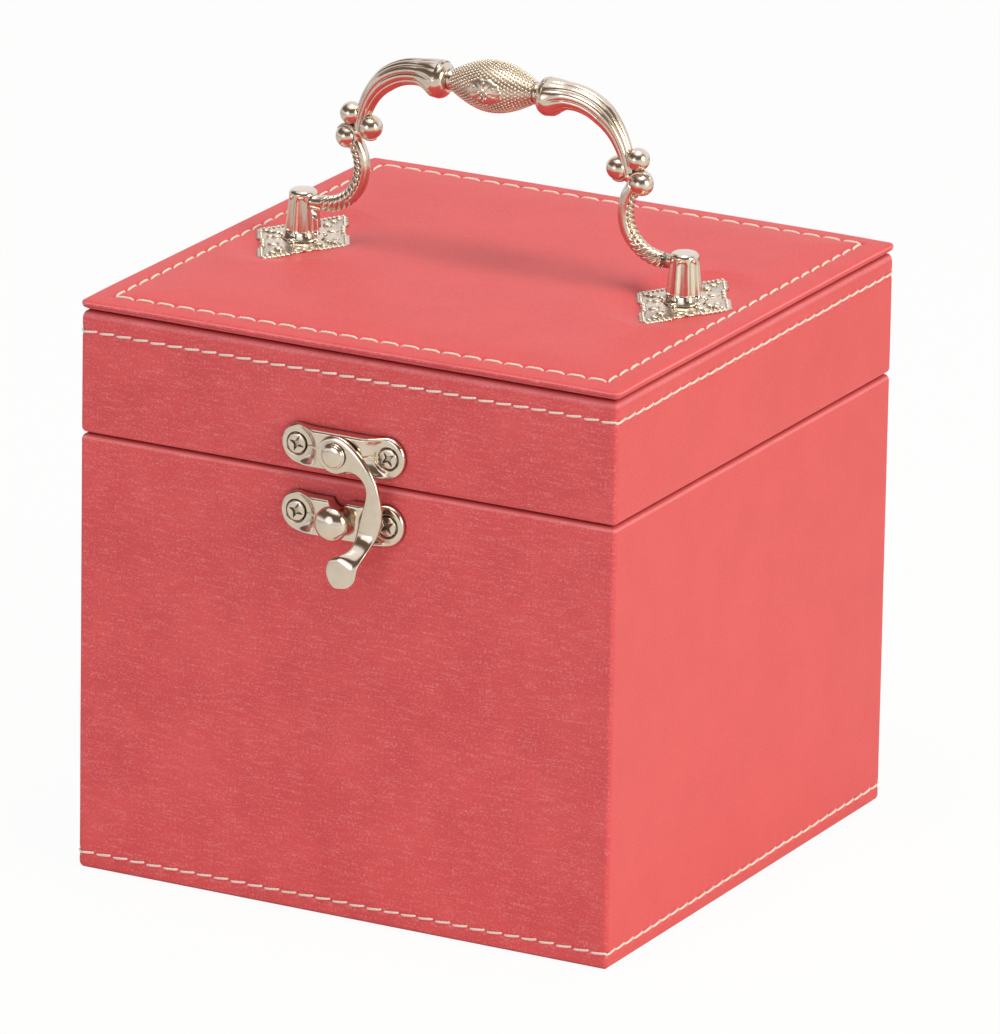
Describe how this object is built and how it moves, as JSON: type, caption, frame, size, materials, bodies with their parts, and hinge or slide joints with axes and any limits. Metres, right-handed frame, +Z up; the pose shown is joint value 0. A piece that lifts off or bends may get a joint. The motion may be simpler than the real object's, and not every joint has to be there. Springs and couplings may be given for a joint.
{
  "type": "bobbin box",
  "caption": "Cube-shaped leatherette sewing box with a hinged padded lid, swing-hook clasp, ornate folding handle and a lift-out bobbin tray.",
  "frame": {"origin": "middle of the underside", "axes": "+Z up, -Y towards the clasp face, +X to the right as the clasp is faced"},
  "size_m": [0.1206, 0.1325, 0.1628],
  "materials": {
    "leatherette": "satin coral-pink leatherette with fine grain and pale stitching",
    "nickel": "polished nickel plate",
    "board": "dense greyboard",
    "flock": "rose flock",
    "ribbon": "satin ribbon"
  },
  "bodies": {
    "base": {"base_board": "board", "base_cover": "leatherette", "base_lining": "flock", "underside_panel": "leatherette", "long_divider": "flock", "cross_divider": "flock", "tray_rails": "flock", "knob_plate": "nickel", "clasp_knob": "nickel", "knob_plate_screws": "nickel", "left_hinge_base_leaf": "nickel", "right_hinge_base_leaf": "nickel", "left_hinge_pin": "nickel", "right_hinge_pin": "nickel", "base_hinge_screws": "nickel"},
    "lid": {"lid_board": "board", "lid_cover": "leatherette", "lid_lining": "flock", "top_panel": "leatherette", "hook_plate": "nickel", "hook_rivet": "nickel", "hook_plate_screws": "nickel", "left_hinge_lid_leaf": "nickel", "right_hinge_lid_leaf": "nickel", "lid_hinge_screws": "nickel", "left_back_plate": "nickel", "right_back_plate": "nickel", "left_post": "nickel", "right_post": "nickel", "post_screws": "nickel"},
    "hook": {"hook": "nickel"},
    "handle": {"left_handle_arm": "nickel", "right_handle_arm": "nickel", "handle_grip": "nickel"},
    "tray": {"tray_body": "flock", "tray_dividers": "flock", "tray_lining": "flock", "tray_tabs": "ribbon"}
  },
  "joints": [
    {"name": "lid_hinge", "type": "hinge", "parent": "base", "child": "lid", "pos_m": [0, 0.0619, 0.0918], "axis": [-1, 0, 0], "range_deg": [0, 100]},
    {"name": "hook_swing", "type": "hinge", "parent": "lid", "child": "hook", "pos_m": [0, -0.064, 0.098], "axis": [0, -1, 0], "range_deg": [-11, 115]},
    {"name": "handle_fold", "type": "hinge", "parent": "lid", "child": "handle", "pos_m": [0, 0, 0.1275], "axis": [1, 0, 0], "range_deg": [-88, 88]},
    {"name": "tray_lift", "type": "slide", "parent": "base", "child": "tray", "axis": [0, 0, 1], "range_m": [0, 0.017]}
  ]
}
